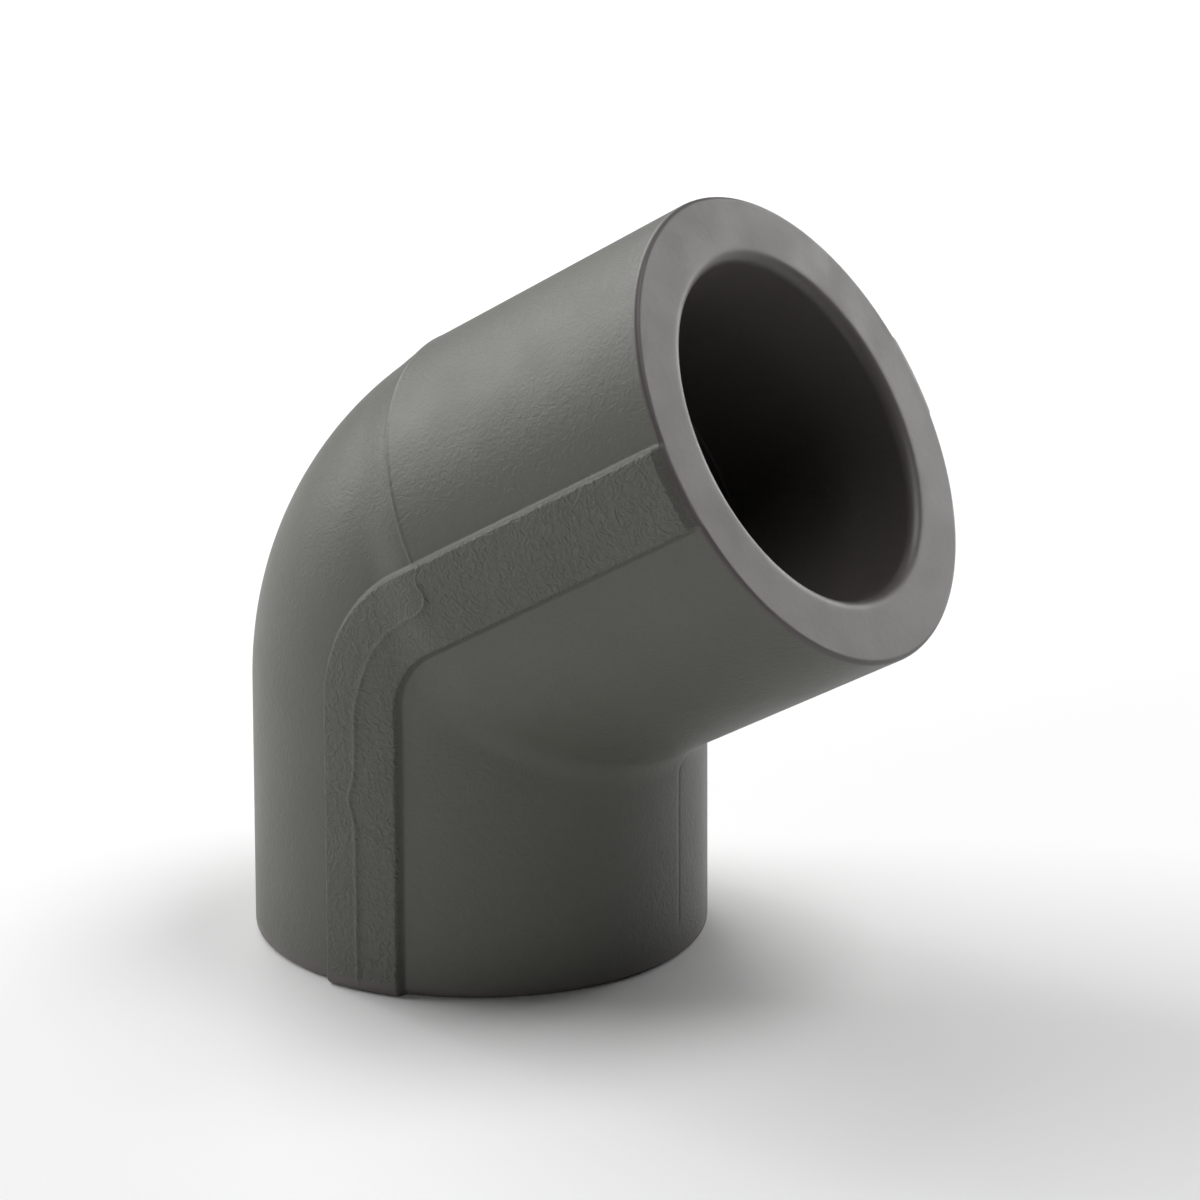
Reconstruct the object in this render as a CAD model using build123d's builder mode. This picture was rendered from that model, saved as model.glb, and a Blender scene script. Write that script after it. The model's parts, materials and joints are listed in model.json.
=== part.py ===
from build123d import *
from math import cos, radians, sin, tan
import os

# One-piece moulded pipe elbow with a plain socket at each end, in millimetres.
# It stands on its lower end face: the origin is the centre of that face, +Z runs up the
# lower pipe axis, and the upper pipe axis leans from +Z towards +X.

# Turn and legs
bend_angle = 60.0  # degrees between the two pipe axes
lower_leg = 27.1  # lower end face to the point where the axes cross
upper_leg = 31.8  # upper end face to the same point

# Outside: both barrels widen a little towards their ends, so that the mould lets go of them
lower_end_radius = 17.55
heel_radius = 17.42
upper_start_radius = 18.05
upper_end_radius = 18.3
heel_bend = 13.5  # radius that the middle of the heel's tube follows
heel_start = 19.7  # height at which the heel leaves the lower barrel
ramp_length = 4.0  # cone that leads from the heel up to the wider upper barrel
ramp_drop = 0.9
lower_rim_round = 0.6
upper_rim_round = 0.35

# Waterway
socket_radius = 12.6  # takes a 25 mm pipe with 0.1 mm all round
socket_depth = 16.0
mouth_radius = 14.15
mouth_round = 0.95
lead_in_depth = 6.0  # the socket narrows gently from the rounded mouth down to here
waterway_radius = 11.0  # the shoulder outside it is the pipe stop

# Raised band along each flat side of the bend
band_width = 6.8
band_height = 0.8
band_bend = 8.8  # radius that the middle of the band follows
band_shift = 0.4  # the band's lower run stands this far towards the throat
band_end_gap = 0.1  # the band slopes away just before the upper end face

# Directions and places that follow from the turn and the legs
upper_axis = Vector(sin(radians(bend_angle)), 0, cos(radians(bend_angle)))
throat_side = Vector(cos(radians(bend_angle)), 0, -sin(radians(bend_angle)))
crossing = Vector(0, 0, lower_leg)
upper_end = crossing + upper_axis * upper_leg
heel_pivot = Vector(heel_bend, 0, heel_start)
barrel_start = (heel_pivot - crossing).dot(upper_axis)  # along the upper axis, from the crossing
barrel_length = upper_leg - barrel_start

# Half-section planes: x is the distance from the pipe axis, y runs from the mouth inwards
lower_section = Plane(origin=(0, 0, 0), x_dir=(1, 0, 0), z_dir=(0, -1, 0))
upper_section = Plane(origin=upper_end, x_dir=throat_side, z_dir=(0, 1, 0))


def turn(section):
    """Revolve the open sketch about the pipe axis of its half-section plane."""
    revolve(axis=Axis(section.origin, section.y_dir))


def outer_corner():
    """The open sketch's corner at the rim: on the end face, farthest from the pipe axis."""
    return vertices().group_by(Axis.Y)[0].sort_by(Axis.X)[-1]


def outside(growth, upper_finish, upper_size):
    """The elbow's outside, grown outwards; its upper rim gets the fillet or chamfer asked for."""
    heel = heel_radius + growth
    start = upper_start_radius + growth
    ramp_end = barrel_length + ramp_length
    with BuildPart() as form:
        # Lower barrel
        with BuildSketch(lower_section):
            with BuildLine():
                Polyline(
                    (0, 0),
                    (lower_end_radius + growth, 0),
                    (heel, heel_start),
                    (0, heel_start),
                    close=True,
                )
            make_face()
            fillet(outer_corner(), lower_rim_round)
        turn(lower_section)

        # Heel: the part of the tube that lies outside the pivot, swung round it
        with BuildSketch(Plane.XY.offset(heel_start)):
            Circle(heel)
            with Locations((heel_bend + heel, 0)):
                Rectangle(2 * heel, 2 * heel, mode=Mode.SUBTRACT)
        revolve(axis=Axis(heel_pivot, (0, 1, 0)), revolution_arc=bend_angle)

        # Upper barrel and the cone below it
        with BuildSketch(upper_section):
            with BuildLine():
                Polyline(
                    (0, 0),
                    (upper_end_radius + growth, 0),
                    (start, barrel_length),
                    (start - ramp_drop, ramp_end),
                    (0, ramp_end),
                    close=True,
                )
            make_face()
            upper_finish(outer_corner(), upper_size)
        turn(upper_section)
    return form.part


# A band on each flat side: a bent strip through the elbow, cut to the grown outside
band_corner = lower_leg + band_shift / tan(radians(bend_angle))
with BuildPart() as side_bands:
    with BuildSketch(Plane.XZ):
        with BuildLine():
            FilletPolyline(
                (band_shift, 0),
                (band_shift, band_corner),
                (upper_end.X, upper_end.Z),
                radius=band_bend,
            )
        trace(line_width=band_width)
    extrude(amount=2 * upper_end_radius, both=True)
    add(outside(band_height, chamfer, band_height + band_end_gap), mode=Mode.INTERSECT)

# One end's socket: rounded mouth, gentle lead-in, straight wall and the flat pipe stop at its bottom
with BuildSketch() as socket_half:
    with BuildLine():
        Line((0, 0), (mouth_radius, 0))
        TangentArc(
            (mouth_radius, 0),
            (mouth_radius - mouth_round, mouth_round),
            tangent=(-1, 0),
        )
        Polyline(
            (mouth_radius - mouth_round, mouth_round),
            (socket_radius, lead_in_depth),
            (socket_radius, socket_depth),
            (0, socket_depth),
            (0, 0),
        )
    make_face()

with BuildPart() as elbow_body:
    add(outside(0, fillet, upper_rim_round))
    add(side_bands.part)

    # Sockets
    for section in (lower_section, upper_section):
        with BuildSketch(section):
            add(socket_half.sketch)
        revolve(axis=Axis(section.origin, section.y_dir), mode=Mode.SUBTRACT)

    # Waterway between the pipe stops, rounded where the two runs meet
    with BuildSketch(Plane.XY):
        Circle(waterway_radius)
    extrude(amount=lower_leg, mode=Mode.SUBTRACT)
    with BuildSketch(Plane(origin=upper_end, x_dir=throat_side, z_dir=upper_axis)):
        Circle(waterway_radius)
    extrude(amount=-upper_leg, mode=Mode.SUBTRACT)
    with Locations(crossing):
        Sphere(waterway_radius, mode=Mode.SUBTRACT)

elbow_body.part.label = "elbow_body"

os.makedirs("parts", exist_ok=True)
export_step(elbow_body.part, "parts/elbow_body.step")
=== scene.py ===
"""Looks for a grey moulded pipe elbow: its finished skin, plastic, soft studio light and the camera.

Shapes are worked out in millimetres in the CAD frame (z up the lower pipe axis, x towards the
throat of the bend) and become metres when the mesh is written.
"""
import json
import math

import bpy
import numpy as np
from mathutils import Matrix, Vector


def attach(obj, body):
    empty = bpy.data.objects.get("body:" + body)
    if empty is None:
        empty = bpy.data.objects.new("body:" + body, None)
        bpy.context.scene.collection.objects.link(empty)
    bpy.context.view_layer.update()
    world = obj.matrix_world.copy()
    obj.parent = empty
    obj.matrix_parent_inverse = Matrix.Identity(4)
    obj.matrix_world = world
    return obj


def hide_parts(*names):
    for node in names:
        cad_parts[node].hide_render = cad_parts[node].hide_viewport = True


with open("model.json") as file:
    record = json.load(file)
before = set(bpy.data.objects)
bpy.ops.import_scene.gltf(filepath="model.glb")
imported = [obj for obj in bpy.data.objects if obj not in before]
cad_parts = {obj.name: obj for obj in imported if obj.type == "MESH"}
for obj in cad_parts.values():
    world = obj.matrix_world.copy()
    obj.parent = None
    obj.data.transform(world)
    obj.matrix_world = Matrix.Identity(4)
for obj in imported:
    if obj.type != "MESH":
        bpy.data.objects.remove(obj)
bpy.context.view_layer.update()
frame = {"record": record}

MM = 0.001

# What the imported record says
mounts = {m["name"]: m for m in frame["record"]["mounts"]}
UPPER_AXIS = np.array(mounts["upper_end_face"]["axis"])
UPPER_END = np.array(mounts["upper_end_face"]["pos_m"]) / MM
THROAT = np.array([UPPER_AXIS[2], 0.0, -UPPER_AXIS[0]])  # square to the upper axis, away from the heel
CROSSING = np.array([0.0, 0.0, UPPER_END[2] - UPPER_END[0] * UPPER_AXIS[2] / UPPER_AXIS[0]])
BEND = math.acos(UPPER_AXIS[2])
LOWER_LEG = CROSSING[2]
UPPER_LEG = (UPPER_END - CROSSING) @ UPPER_AXIS
SOCKET_RADIUS = mounts["lower_socket"]["dims"]["r_mm"]
SIDE = np.array([0.0, 1.0, 0.0])

# Outside
LOWER_END_RADIUS = 17.55
HEEL_RADIUS = 17.42
UPPER_START_RADIUS = 18.05
UPPER_END_RADIUS = 18.3
HEEL_PATH = (0.0, 13.5, 19.7)  # first run's x, bend radius, height where the bend starts
RAMP_START = 7.6  # along the upper axis, where the wider upper barrel is at its full radius
RAMP_LENGTH = 4.0
RAMP_DROP = 0.9
RAMP_CURVE = 1.6
HEEL_BLEND = 0.25
CROTCH_BLEND = 1.2
BLEND_CHANGE = 8.0  # the heel's blend grows into the crotch's over this distance past the upper axis
LOWER_RIM_ROUND = 0.6
UPPER_RIM_ROUND = 0.35

# Raised band on each side
BAND_SHIFT = 0.4
BAND_BEND = 8.8
BAND_HALF = 3.4  # to the foot of the slope at its edge
BAND_HEIGHT = 0.68
BAND_SLOPE = 0.45
BAND_END_GAP = 0.1  # it slopes away this far short of the upper end face
_band_rise = (BAND_BEND - THROAT[0] * (BAND_SHIFT + BAND_BEND)) / THROAT[2]
BAND_PATH = (BAND_SHIFT, BAND_BEND, LOWER_LEG + _band_rise)

# Sockets and waterway
MOUTH_RADIUS = 14.15
MOUTH_ROUND = 0.95
LEAD_IN_DEPTH = 6.0
STOP_DEPTH = 16.0
WATERWAY_RADIUS = 11.0
STOP_CORNER = 0.25  # rounding where the socket wall meets the stop
STOP_LIP = 0.2  # rounding where the stop meets the waterway

# The rows of the skin's mesh are cut by planes: level on the lower leg, fanned about a line
# beyond the throat on the bend, square to the upper axis on the upper leg.
FAN = np.array([20.0, 0.0, 16.2])
FAN_REACH_LOW = FAN[0]
FAN_REACH_HIGH = (FAN - CROSSING) @ THROAT
FAN_ALONG = (FAN - CROSSING) @ UPPER_AXIS


def soft_min(a, b, reach):
    """The smaller of two distances, rounded where they are within reach of each other."""
    mix = np.clip(0.5 + 0.5 * (b - a) / reach, 0.0, 1.0)
    return b + (a - b) * mix - reach * mix * (1.0 - mix)


def smooth_step(low, high, value):
    x = np.clip((value - low) / (high - low), 0.0, 1.0)
    return x * x * (3.0 - 2.0 * x)


def off_path(p, path):
    """Signed distance, in the plane of the bend, from a path that runs up, turns and follows the
    upper axis: negative on the heel side. Also the distance past the end of its turn."""
    start, radius, height = path
    q = p - np.array([start + radius, 0.0, height])
    turned = np.arctan2(q[..., 2], -q[..., 0])
    past = q @ UPPER_AXIS
    off = radius - np.hypot(q[..., 0], q[..., 2])
    off = np.where(turned < 0.0, q[..., 0] + radius, off)
    off = np.where(turned > BEND, q @ THROAT + radius, off)
    return off, np.where(turned > BEND, np.maximum(past, 0.0), 0.0)


def body_distance(p):
    """Roughly the distance from the plain elbow's outside: the lower barrel and heel in one tube,
    joined to the upper barrel."""
    off, past = off_path(p, HEEL_PATH)
    widening = np.clip(1.0 - p[..., 2] / HEEL_PATH[2], 0.0, 1.0)
    tube_radius = HEEL_RADIUS + (LOWER_END_RADIUS - HEEL_RADIUS) * widening
    tube = np.sqrt(off**2 + p[..., 1] ** 2 + past**2) - tube_radius
    q = p - CROSSING
    along = q @ UPPER_AXIS
    towards = q @ THROAT
    ramp = np.maximum((RAMP_START - along) / RAMP_LENGTH, 0.0)
    widening = np.clip((along - RAMP_START) / (UPPER_LEG - RAMP_START), 0.0, 1.0)
    upper_radius = UPPER_START_RADIUS + (UPPER_END_RADIUS - UPPER_START_RADIUS) * widening
    upper = np.hypot(towards, p[..., 1]) - upper_radius + RAMP_DROP * ramp**RAMP_CURVE
    reach = HEEL_BLEND + (CROTCH_BLEND - HEEL_BLEND) * smooth_step(0.0, BLEND_CHANGE, towards)
    return soft_min(tube, upper, reach)


def skin_distance(p):
    """The plain outside with its bands."""
    off, _ = off_path(p, BAND_PATH)
    to_end = UPPER_LEG - (p - CROSSING) @ UPPER_AXIS
    height = np.clip(to_end - BAND_END_GAP, 0.0, BAND_HEIGHT)
    return body_distance(p) - height * smooth_step(0.0, BAND_SLOPE, BAND_HALF - np.abs(off))


def waterway_distance(p):
    """Inside the waterway, how far its wall is; turned to grow outwards like the others."""
    q = p - CROSSING
    low = np.sqrt(p[..., 0] ** 2 + p[..., 1] ** 2 + np.maximum(q[..., 2], 0.0) ** 2)
    along = q @ UPPER_AXIS
    high = np.sqrt((q @ THROAT) ** 2 + p[..., 1] ** 2 + np.minimum(along, 0.0) ** 2)
    return np.minimum(low, high) - WATERWAY_RADIUS


def station(v):
    """Centre and heelward direction of the row planes at v, which counts millimetres along the
    lower leg up to the fan, then radians of the fan times its reach, then millimetres again."""
    fan_turn = np.clip((v - FAN[2]) / FAN_REACH_LOW, 0.0, BEND)
    spare = v - FAN[2] - fan_turn * FAN_REACH_LOW
    heelward = np.stack([-np.cos(fan_turn), 0 * v, np.sin(fan_turn)], -1)
    reach = FAN_REACH_LOW + (FAN_REACH_HIGH - FAN_REACH_LOW) * smooth_step(0.0, BEND, fan_turn)
    centre = FAN + heelward * reach[..., None]
    run = np.where(
        (spare > 0.0)[..., None], spare[..., None] * UPPER_AXIS, spare[..., None] * np.array([0, 0, 1.0])
    )
    return centre + run, heelward


V_FAN_END = FAN[2] + BEND * FAN_REACH_LOW
V_END = V_FAN_END + UPPER_LEG - FAN_ALONG


FAR_OUT = 30.0  # farther from any row's centre than the outside is
CAST_ROUNDS = 34
EDGE_ROUNDS = 30
EDGE_SEARCH = 9.0  # no band edge lies farther than this from a row's centre


def cast(centre, direction, distance):
    """How far along each ray from inside the shape its surface is."""
    low = np.zeros(direction.shape[:-1])
    high = np.full(direction.shape[:-1], FAR_OUT)
    for _ in range(CAST_ROUNDS):
        middle = 0.5 * (low + high)
        inside = distance(centre + direction * middle[..., None]) < 0.0
        low = np.where(inside, middle, low)
        high = np.where(inside, high, middle)
    return 0.5 * (low + high)


# Fine marks of the mould: the flash line and the ring stand up a little, the groove is cut in
FLASH_HEIGHT = 0.12
FLASH_WIDTH = 0.15
RING_HEIGHT = 0.07
RING_WIDTH = 0.13
RING_AT = 8.1  # along the upper axis at the bands
RING_LEAN = 0.061
RING_FADE = (2.9, 3.5)  # it fades in between these distances on the heel side of the upper axis
GROOVE_DEPTH = 0.05
GROOVE_WIDTH = 0.16
OFF_AXIS = 10.0  # the flash lies farther than this to either side, the groove towards the throat
FLASH_ROUTE = [  # x and z on the band: up the lower run, round the corner and into a hook
    (0.26, 0.6),
    (0.24, 11.5),
    (0.18, 13.2),
    (-0.05, 14.1),
    (-0.42, 15.2),
    (-0.02, 16.3),
    (0.24, 17.4),
    (0.18, 21.1),
    (0.45, 23.2),
    (1.6, 26.5),
    (3.0, 28.3),
    (4.5, 29.5),
    (6.15, 30.45),
    (6.75, 31.1),
    (6.9, 31.7),
    (6.6, 32.3),
    (6.1, 32.8),
]
GROOVE_ROUTE = [(0.0, 3.0), (0.0, 14.6), (0.15, 15.4), (0.9, 15.85), (2.6, 16.0)]  # y and z on the throat


def smooth_route(points, rounds=3):
    """The same route with its corners cut, as segment starts and ends."""
    route = np.array(points, float)
    for _ in range(rounds):
        near = 0.75 * route[:-1] + 0.25 * route[1:]
        far = 0.25 * route[:-1] + 0.75 * route[1:]
        between = np.stack([near, far], 1).reshape(-1, 2)
        route = np.concatenate([route[:1], between, route[-1:]])
    return route


def route_distance(flat, route):
    """Distance in a plane of each point from the route."""
    best = np.full(flat.shape[:-1], 1e9)
    for a, b in zip(route[:-1], route[1:]):
        step = b - a
        t = np.clip(((flat - a) @ step) / (step @ step), 0.0, 1.0)
        best = np.minimum(best, np.hypot(*np.moveaxis(flat - a - t[..., None] * step, -1, 0)))
    return best


FLASH = smooth_route(FLASH_ROUTE)
GROOVE = smooth_route(GROOVE_ROUTE)


def marks(p):
    """How far the mould's marks stand out at each point of the skin; less than zero in the groove."""
    flash = route_distance(p[..., [0, 2]], FLASH)
    flash = FLASH_HEIGHT * np.exp(-((flash / FLASH_WIDTH) ** 2)) * (np.abs(p[..., 1]) > OFF_AXIS)
    q = p - CROSSING
    towards = q @ THROAT
    ring = q @ UPPER_AXIS - RING_AT - RING_LEAN * towards
    ring = RING_HEIGHT * np.exp(-((ring / RING_WIDTH) ** 2))
    ring = ring * smooth_step(*RING_FADE, -towards)
    groove = route_distance(p[..., [1, 2]], GROOVE)
    groove = GROOVE_DEPTH * np.exp(-((groove / GROOVE_WIDTH) ** 2)) * (p[..., 0] > OFF_AXIS)
    return np.maximum(flash, ring) - groove


def edge_angle(v, side):
    """The angle, from the heel, at which the row at v crosses the slope at one edge of the band."""
    centre, heelward = station(v)
    low, high = np.full(v.shape, -EDGE_SEARCH), np.full(v.shape, EDGE_SEARCH)
    for _ in range(EDGE_ROUNDS):
        middle = 0.5 * (low + high)
        off, _past = off_path(centre + heelward * middle[..., None], BAND_PATH)
        short = off > side * (BAND_HALF - 0.5 * BAND_SLOPE)
        low = np.where(short, middle, low)
        high = np.where(short, high, middle)
    reach = 0.5 * (low + high)
    across = cast(centre + heelward * reach[..., None], 0 * centre + SIDE, body_distance)
    return np.arctan2(across + 0.5 * BAND_HEIGHT, reach)


# Columns: fine steps in millimetres beside a band edge, even steps elsewhere
EDGE_STEPS = np.array([0.0, 0.02, 0.05, 0.09, 0.14, 0.2, 0.28, 0.38, 0.5, 0.66, 0.86, 1.12])
BAND_STEP = 0.11
BARREL_STEP = 0.85
GROOVE_STEPS = np.array([0.0, 0.08, 0.16, 0.25, 0.36, 0.5, 0.7, 1.0, 1.35])


def spread(length, step):
    """Places from 0 to length, about step apart."""
    return np.linspace(0.0, length, max(2, int(round(length / step)) + 1))


def column_plan():
    """Column places from heel to throat on one side: the gap that each is in, and its share of it."""
    arc = 0.5 * (HEEL_RADIUS + UPPER_START_RADIUS)
    band_gap = 2 * BAND_HALF - BAND_SLOPE
    heel_gap = arc * (math.pi / 2) - 0.5 * band_gap
    ends = EDGE_STEPS[-1]
    heel = np.concatenate([spread(heel_gap - ends, BARREL_STEP), heel_gap - EDGE_STEPS[-2:0:-1]])
    band = np.concatenate(
        [EDGE_STEPS[:-1], ends + spread(band_gap - 2 * ends, BAND_STEP), band_gap - EDGE_STEPS[-2:0:-1]]
    )
    last = GROOVE_STEPS[-1]
    throat = np.concatenate(
        [EDGE_STEPS[:-1], ends + spread(heel_gap - ends - last, BARREL_STEP), heel_gap - GROOVE_STEPS[-2::-1]]
    )
    gaps = np.concatenate([0 * heel, 0 * band + 1, 0 * throat + 2]).astype(int)
    shares = np.concatenate([heel / heel_gap, band / band_gap, throat / heel_gap])
    return gaps, shares


GAPS, SHARES = column_plan()


def column_angles(v):
    """Angles of every column in the rows at v, heel to throat on +Y and back to the heel on -Y."""
    first = edge_angle(v, -1.0)[..., None]
    second = edge_angle(v, 1.0)[..., None]
    starts = np.concatenate([0 * first, first, second], -1)
    widths = np.concatenate([first, second - first, math.pi - second], -1)
    half = starts[..., GAPS] + widths[..., GAPS] * SHARES
    return np.concatenate([half, 2 * math.pi - half[..., -2:0:-1]], -1)


BAND_COLUMNS = np.concatenate([GAPS == 1, (GAPS == 1)[-2:0:-1]])


def rays(v):
    """Centre, direction of every column, for rows at v."""
    centre, heelward = station(v)
    angle = column_angles(v)[..., None]
    direction = np.cos(angle) * heelward[..., None, :] + np.sin(angle) * SIDE
    return centre[..., None, :], direction


def skin_rows(v):
    """Points on the outside, marks included."""
    centre, direction = rays(v)
    reach = cast(centre, direction, skin_distance)
    smooth = centre + direction * reach[..., None]
    return smooth + direction * marks(smooth)[..., None]


def rim_rows(v, outwards, rounding, even_radius=math.inf, turns=7):
    """A rounded rim: from the end face's edge back to the barrel's row at v. Whatever stands
    proud of the even radius is gone by the end face."""
    centre, direction = rays(np.array([v]))
    end = centre + outwards * rounding
    radius = cast(centre, direction, skin_distance)
    fall = rounding + np.maximum(radius - even_radius, 0.0)
    rows = []
    for turn in np.linspace(math.pi / 2, 0.0, turns):
        inwards = rounding * (1.0 - math.sin(turn))
        reach = radius - fall * (1.0 - math.cos(turn))
        rows.append(end - outwards * inwards + direction * reach[..., None])
    return np.concatenate(rows)


def socket_profile(face_radius):
    """Radius and depth of each row from the rim's edge to the start of the waterway."""
    inner = MOUTH_RADIUS - MOUTH_ROUND
    rows = [(r, 0.0) for r in np.linspace(face_radius - 0.12, MOUTH_RADIUS + 0.3, 6)]
    for turn in np.linspace(0.0, math.pi / 2, 10):
        rows.append((MOUTH_RADIUS - MOUTH_ROUND * math.sin(turn), MOUTH_ROUND * (1.0 - math.cos(turn))))
    taper = (inner - SOCKET_RADIUS) / (LEAD_IN_DEPTH - MOUTH_ROUND)
    for depth in np.linspace(MOUTH_ROUND + 0.3, LEAD_IN_DEPTH, 6):
        rows.append((inner - taper * (depth - MOUTH_ROUND), depth))
    wall_end = STOP_DEPTH - STOP_CORNER
    rows += [(SOCKET_RADIUS, depth) for depth in np.linspace(LEAD_IN_DEPTH, wall_end, 6)[1:]]
    for turn in (30, 60, 90):
        a = math.radians(turn)
        inwards = STOP_CORNER * (1 - math.cos(a))
        rows.append((SOCKET_RADIUS - inwards, STOP_DEPTH - STOP_CORNER * (1 - math.sin(a))))
    rows += [(r, STOP_DEPTH) for r in np.linspace(SOCKET_RADIUS - 0.45, WATERWAY_RADIUS + 0.3, 4)]
    for turn in (90, 60, 30, 0):
        a = math.radians(turn)
        outwards = STOP_LIP * (1 - math.sin(a))
        rows.append((WATERWAY_RADIUS + outwards, STOP_DEPTH + STOP_LIP * (1 - math.cos(a))))
    return rows


def socket_rows(v, end, inwards, face_radius):
    _, direction = rays(np.array([v]))
    return np.concatenate(
        [end + inwards * depth + direction * radius for radius, depth in socket_profile(face_radius)]
    )


def waterway_rows(v):
    centre, direction = rays(v)
    reach = cast(centre, direction, waterway_distance)
    return centre + direction * reach[..., None]


def outside_stations():
    """Where the outside's rows are: closer together at the rims, the crotch, the kink and the ring."""
    band_end = V_END - BAND_END_GAP - BAND_HEIGHT
    ring = V_FAN_END + FAN_REACH_LOW * np.radians([-13.5, -5.5])
    knots = [  # where a stretch starts, and how far apart its rows are
        (LOWER_RIM_ROUND, 0.5),
        (13.0, 0.12),
        (FAN[2], 0.05),
        (FAN[2] + 0.6, 0.3),
        (ring[0], 0.06),
        (ring[1], 0.3),
        (V_FAN_END, 0.7),
        (band_end - 0.3, 0.1),
        (V_END - UPPER_RIM_ROUND, 0.1),
    ]
    places = [
        low + spread(high - low, step)[:-1] for (low, step), (high, _) in zip(knots[:-1], knots[1:])
    ]
    return np.concatenate(places)


PAST_STOP = 0.6  # the waterway's own rows start this far past each stop
WATERWAY_ROWS = 36

# Places in the skin's list of materials
BARREL_FINISH, BAND_FINISH, END_FINISH = 0, 1, 2


def skin_mesh():
    """One closed skin: up the outside, in at the upper mouth, down the waterway, out at the lower."""
    up = np.array([0.0, 0.0, 1.0])
    low, high = LOWER_RIM_ROUND, V_END - UPPER_RIM_ROUND
    outside = outside_stations()
    low_rim = rim_rows(low, -up, LOWER_RIM_ROUND)
    high_rim = rim_rows(high, UPPER_AXIS, UPPER_RIM_ROUND, UPPER_END_RADIUS)[::-1]
    past_stop = STOP_DEPTH + PAST_STOP
    turn = np.linspace(V_END - STOP_DEPTH - PAST_STOP, past_stop, WATERWAY_ROWS)
    blocks = [
        low_rim,
        skin_rows(outside[1:]),
        high_rim,
        socket_rows(high, UPPER_END, -UPPER_AXIS, UPPER_END_RADIUS - UPPER_RIM_ROUND),
        waterway_rows(turn),
        socket_rows(low, 0 * up, up, LOWER_END_RADIUS - LOWER_RIM_ROUND)[::-1],
    ]
    first_barrel = len(low_rim)
    past_barrel = first_barrel + len(outside) - 1
    points = np.concatenate(blocks)
    rows, columns = points.shape[:2]
    row = np.arange(rows)[:, None]
    column = np.arange(columns)[None, :]
    next_row, next_column = (row + 1) % rows, (column + 1) % columns
    faces = np.stack(
        [
            row * columns + column,
            next_row * columns + column,
            next_row * columns + next_column,
            row * columns + next_column,
        ],
        -1,
    )
    on_band = BAND_COLUMNS & np.roll(BAND_COLUMNS, -1)
    finish = np.where(on_band[None, :], BAND_FINISH, BARREL_FINISH)
    finish = np.where((row >= first_barrel) & (row < past_barrel), finish, END_FINISH)
    return points.reshape(-1, 3) * MM, faces.reshape(-1, 4), finish.reshape(-1)


# ---- Blender


def skin_object(name, materials):
    points, faces, finish = skin_mesh()
    mesh = bpy.data.meshes.new(name)
    mesh.vertices.add(len(points))
    mesh.vertices.foreach_set("co", points.ravel())
    mesh.loops.add(faces.size)
    mesh.loops.foreach_set("vertex_index", faces.ravel())
    mesh.polygons.add(len(faces))
    mesh.polygons.foreach_set("loop_start", np.arange(len(faces)) * 4)
    mesh.polygons.foreach_set("material_index", finish.astype(np.int32))
    mesh.update(calc_edges=True)
    mesh.validate()
    mesh.polygons.foreach_set("use_smooth", np.ones(len(faces), bool))
    for material in materials:
        mesh.materials.append(material)
    piece = bpy.data.objects.new(name, mesh)
    bpy.context.scene.collection.objects.link(piece)
    return piece


class Nodes:
    """A material's node tree, with short calls for making and linking its nodes."""

    def __init__(self, name):
        self.material = bpy.data.materials.new(name)
        self.material.use_nodes = True
        self.tree = self.material.node_tree
        self.shader = self.tree.nodes["Principled BSDF"]

    def add(self, kind, inputs=None, **settings):
        node = self.tree.nodes.new(kind)
        for key, value in settings.items():
            setattr(node, key, value)
        for key, value in (inputs or {}).items():
            if isinstance(value, bpy.types.NodeSocket):
                self.tree.links.new(value, node.inputs[key])
            else:
                node.inputs[key].default_value = value
        return node

    def noise(self, where, size, detail=2.0, **inputs):
        """Noise whose largest features are about size metres."""
        settings = {"Vector": where, "Scale": 1.0 / size, "Detail": detail}
        settings.update(inputs)
        return self.add("ShaderNodeTexNoise", settings).outputs["Fac"]

    def ramp(self, value, low, high, to_low, to_high):
        return self.add(
            "ShaderNodeMapRange",
            {"Value": value, "From Min": low, "From Max": high, "To Min": to_low, "To Max": to_high},
        ).outputs["Result"]


# Sizes of the plastic's unevenness, in metres
FLOW_SIZE = 0.012
FLECK_SIZE = 0.0005
SHEEN_SIZE = 0.004

# Darkest and lightest flow tone of the sides and of the warmer end faces
SIDE_TONES = ((0.087, 0.088, 0.073, 1.0), (0.095, 0.095, 0.080, 1.0))
END_TONES = ((0.096, 0.087, 0.083, 1.0), (0.104, 0.095, 0.090, 1.0))


def plastic(name, tones, grain_size, grain_depth, wormy, roughness):
    """Matte grey moulding compound: faint flow mottling, uneven sheen and a fine grain."""
    nodes = Nodes(name)
    where = nodes.add("ShaderNodeTexCoord").outputs["Object"]
    flow = nodes.noise(where, FLOW_SIZE, 3.0, Distortion=0.6)
    fleck = nodes.noise(where, FLECK_SIZE, 2.0)
    blend = nodes.add("ShaderNodeMath", {0: flow, 1: fleck}, operation="ADD").outputs[0]
    colour = nodes.add(
        "ShaderNodeMix",
        {"Factor": nodes.ramp(blend, 0.7, 1.3, 0.0, 1.0), "A": tones[0], "B": tones[1]},
        data_type="RGBA",
    )
    nodes.tree.links.new(colour.outputs["Result"], nodes.shader.inputs["Base Color"])
    sheen = nodes.noise(where, SHEEN_SIZE, 3.0)
    nodes.tree.links.new(nodes.ramp(sheen, 0.3, 0.7, *roughness), nodes.shader.inputs["Roughness"])
    grain = nodes.noise(where, grain_size, 2.0, Distortion=wormy)
    bump = nodes.add(
        "ShaderNodeBump",
        {"Height": nodes.ramp(grain, 0.35, 0.65, 0.0, 1.0), "Distance": grain_depth, "Strength": 1.0},
    )
    nodes.tree.links.new(bump.outputs["Normal"], nodes.shader.inputs["Normal"])
    return nodes.material


FLOOR_HALF = 3.0


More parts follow.
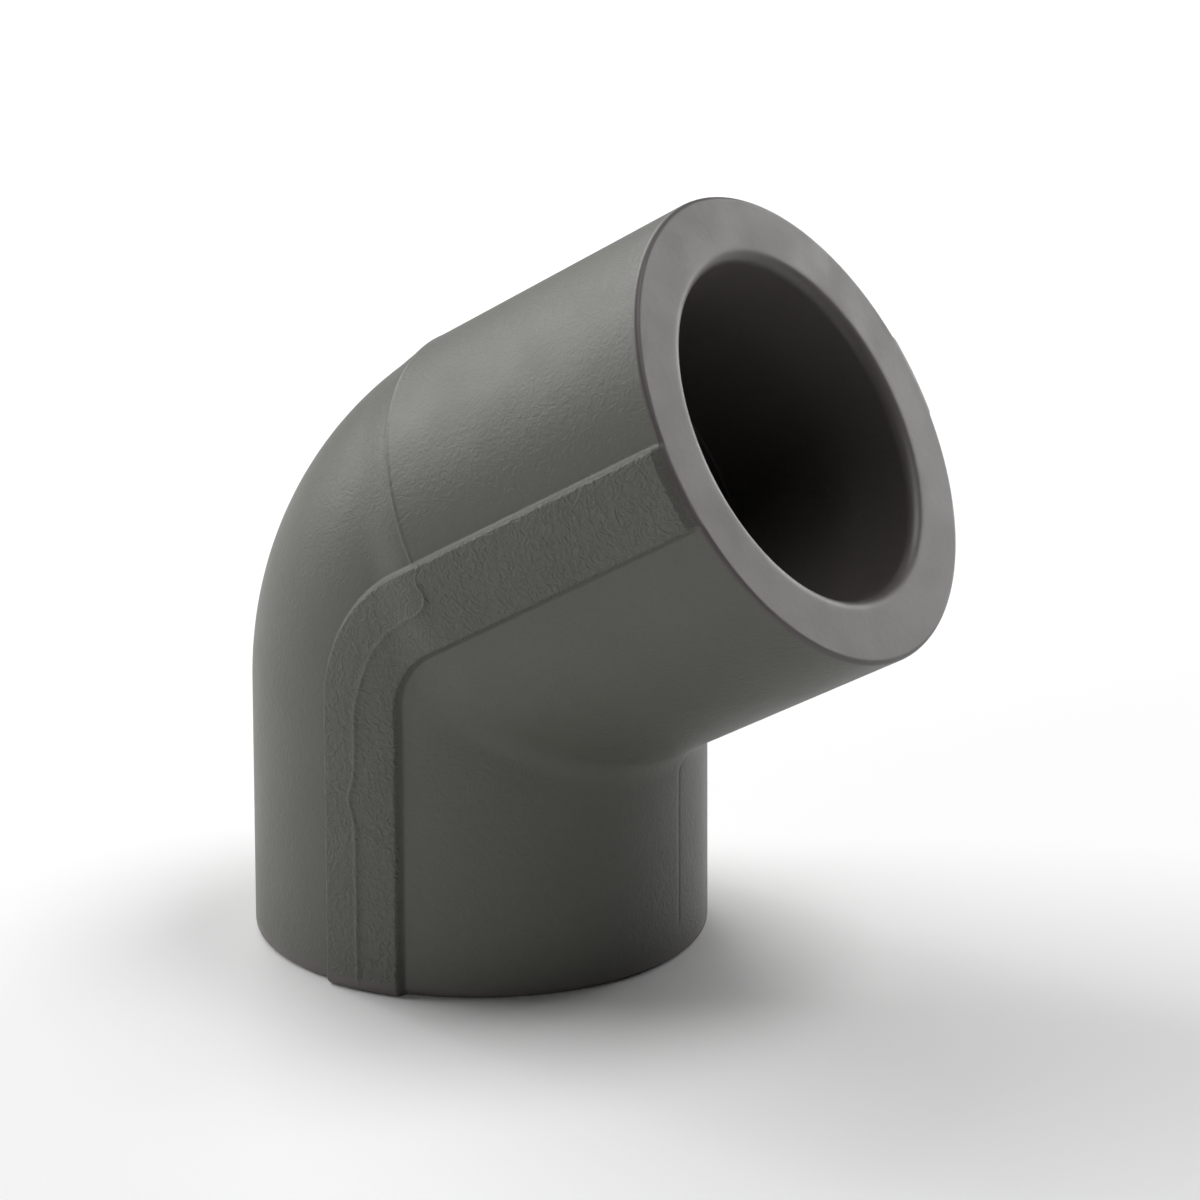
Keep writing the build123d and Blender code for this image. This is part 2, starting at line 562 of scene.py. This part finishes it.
def floor_object():
    mesh = bpy.data.meshes.new("floor")
    half = FLOOR_HALF
    mesh.from_pydata(
        [(-half, -half, 0), (half, -half, 0), (half, half, 0), (-half, half, 0)], [], [(0, 1, 2, 3)]
    )
    floor = bpy.data.objects.new("floor", mesh)
    bpy.context.scene.collection.objects.link(floor)
    nodes = Nodes("floor_paper")
    nodes.shader.inputs["Base Color"].default_value = (0.9, 0.9, 0.9, 1.0)
    nodes.shader.inputs["Roughness"].default_value = 0.9
    mesh.materials.append(nodes.material)


def area_light(name, position, aim, size, power, colour=(1.0, 1.0, 1.0)):
    light = bpy.data.lights.new(name, "AREA")
    light.shape = "RECTANGLE"
    light.size, light.size_y = size
    light.energy = power
    light.color = colour
    lamp = bpy.data.objects.new(name, light)
    lamp.location = position
    lamp.rotation_mode = "QUATERNION"
    lamp.rotation_quaternion = (Vector(aim) - Vector(position)).to_track_quat("-Z", "Y")
    bpy.context.scene.collection.objects.link(lamp)


# Softboxes: turn from the camera (to its right) and height in degrees, side in metres, power in watts
SOFTBOXES = {
    "left_back": (246.0, 30.0, 0.6, 4.9),
    "right_top": (90.0, 65.0, 0.4, 2.7),
    "right_back": (135.0, 12.0, 0.4, 2.6),
    "top_back": (205.0, 40.0, 0.5, 3.0),
    "left_front": (315.0, 12.0, 0.4, 1.1),
}
CAMERA_TURN = 29.938
CAMERA_TILT = 16.906
CAMERA_PLACE = (0.18106, -0.29598, 0.13119)
LENS = 142.54  # millimetres, on a 36 mm sensor
LIGHT_DISTANCE = 0.8
LIGHT_AIM = (0.008, 0.0, 0.03)
SKY = 0.02  # strength of the even light from all round


def studio():
    world = bpy.data.worlds.new("studio")
    world.use_nodes = True
    world.node_tree.nodes["Background"].inputs["Color"].default_value = (1.0, 1.0, 1.0, 1.0)
    world.node_tree.nodes["Background"].inputs["Strength"].default_value = SKY
    bpy.context.scene.world = world
    aim = Vector(LIGHT_AIM)
    for name, (turn, height, side, power) in SOFTBOXES.items():
        a, e = math.radians(CAMERA_TURN + turn), math.radians(height)
        away = Vector((math.sin(a) * math.cos(e), -math.cos(a) * math.cos(e), math.sin(e)))
        area_light(name, aim + away * LIGHT_DISTANCE, aim, (side, side), power)


def camera():
    """A long lens level with the photograph's view of the mouth."""
    data = bpy.data.cameras.new("camera")
    data.sensor_width = 36.0
    data.lens = LENS
    data.clip_start, data.clip_end = 0.01, 20.0
    view = bpy.data.objects.new("camera", data)
    view.location = CAMERA_PLACE
    view.rotation_euler = (math.radians(90.0 - CAMERA_TILT), 0.0, math.radians(CAMERA_TURN))
    bpy.context.scene.collection.objects.link(view)
    bpy.context.scene.camera = view


bpy.context.scene.view_settings.view_transform = "Standard"
camera()
studio()
floor_object()
moulded = plastic("moulded_plastic", SIDE_TONES, 0.0005, 0.000016, 1.2, (0.46, 0.52))
eroded = plastic("eroded_plastic", SIDE_TONES, 0.0006, 0.00007, 1.6, (0.5, 0.62))
polished = plastic("polished_plastic", END_TONES, 0.0006, 0.000003, 0.5, (0.4, 0.5))
elbow = skin_object("elbow_moulding", [moulded, eroded, polished])
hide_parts("elbow_body")
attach(elbow, "root")
